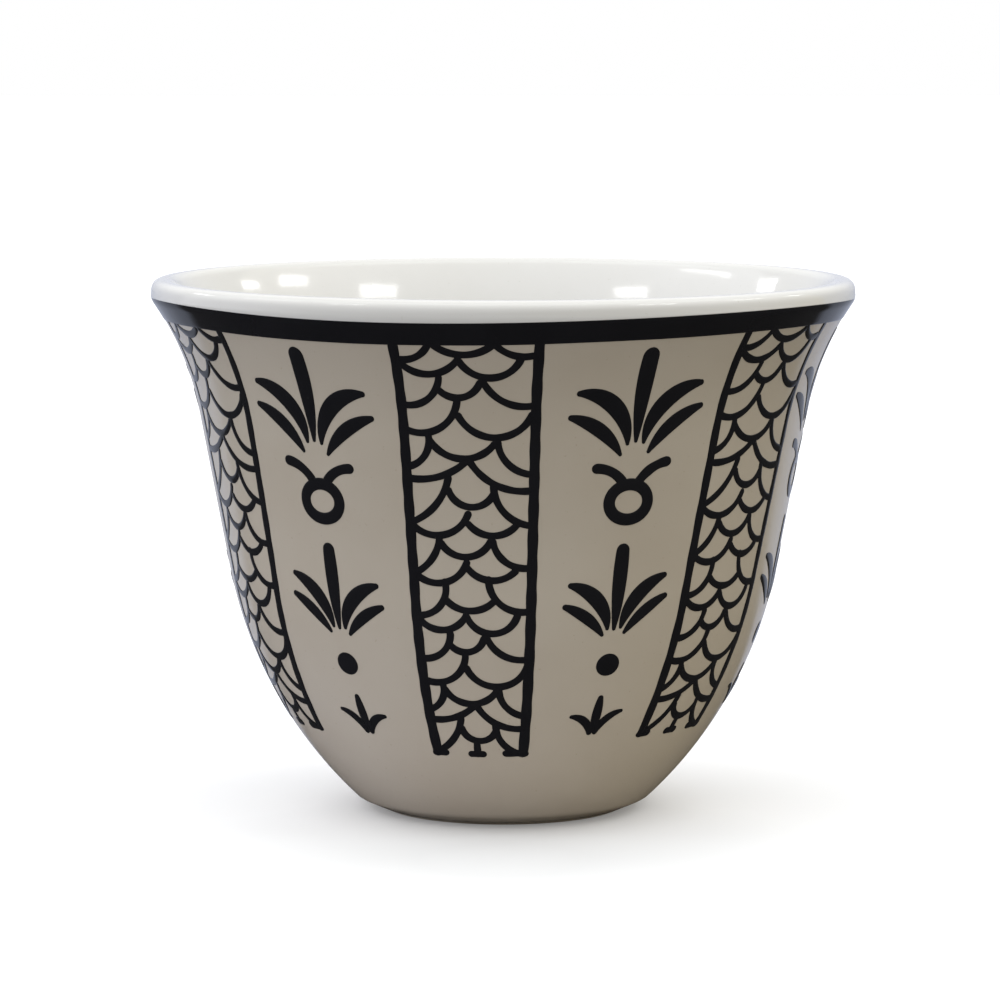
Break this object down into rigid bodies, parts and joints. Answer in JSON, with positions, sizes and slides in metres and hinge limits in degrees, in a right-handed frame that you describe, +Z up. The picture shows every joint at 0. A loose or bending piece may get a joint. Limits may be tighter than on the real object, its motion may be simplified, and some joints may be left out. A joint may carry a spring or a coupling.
{
  "type": "arabic coffee cup",
  "caption": "Small handleless porcelain coffee cup with a flared rolled lip, a low foot, a white inside, a cream outside and raised black scale panels and palmettes",
  "frame": {"origin": "middle of the foot ring's underside, on the surface the cup stands on", "axes": "+Z up along the cup's axis of turning, -Y towards the viewer of the picture, +X to the viewer's right"},
  "size_m": [0.07, 0.07, 0.0531],
  "materials": {
    "bare_porcelain": "matte, unglazed fired clay",
    "white_glaze": "glossy white glaze",
    "cream_glaze": "satin warm grey-cream glaze",
    "black_enamel": "glossy raised black enamel"
  },
  "bodies": {
    "root": {"porcelain_body": "bare_porcelain", "interior_glaze": "white_glaze", "exterior_glaze": "cream_glaze", "base_glaze": "white_glaze", "rim_band": "black_enamel", "scale_panel_1": "black_enamel", "large_palmette_1": "black_enamel", "ring_tendrils_1": "black_enamel", "small_palmette_1": "black_enamel", "bead_1": "black_enamel", "sprout_1": "black_enamel", "scale_panel_2": "black_enamel", "large_palmette_2": "black_enamel", "ring_tendrils_2": "black_enamel", "small_palmette_2": "black_enamel", "bead_2": "black_enamel", "sprout_2": "black_enamel", "scale_panel_3": "black_enamel", "large_palmette_3": "black_enamel", "ring_tendrils_3": "black_enamel", "small_palmette_3": "black_enamel", "bead_3": "black_enamel", "sprout_3": "black_enamel", "scale_panel_4": "black_enamel", "large_palmette_4": "black_enamel", "ring_tendrils_4": "black_enamel", "small_palmette_4": "black_enamel", "bead_4": "black_enamel", "sprout_4": "black_enamel", "scale_panel_5": "black_enamel", "large_palmette_5": "black_enamel", "ring_tendrils_5": "black_enamel", "small_palmette_5": "black_enamel", "bead_5": "black_enamel", "sprout_5": "black_enamel", "scale_panel_6": "black_enamel", "large_palmette_6": "black_enamel", "ring_tendrils_6": "black_enamel", "small_palmette_6": "black_enamel", "bead_6": "black_enamel", "sprout_6": "black_enamel"}
  },
  "joints": []
}
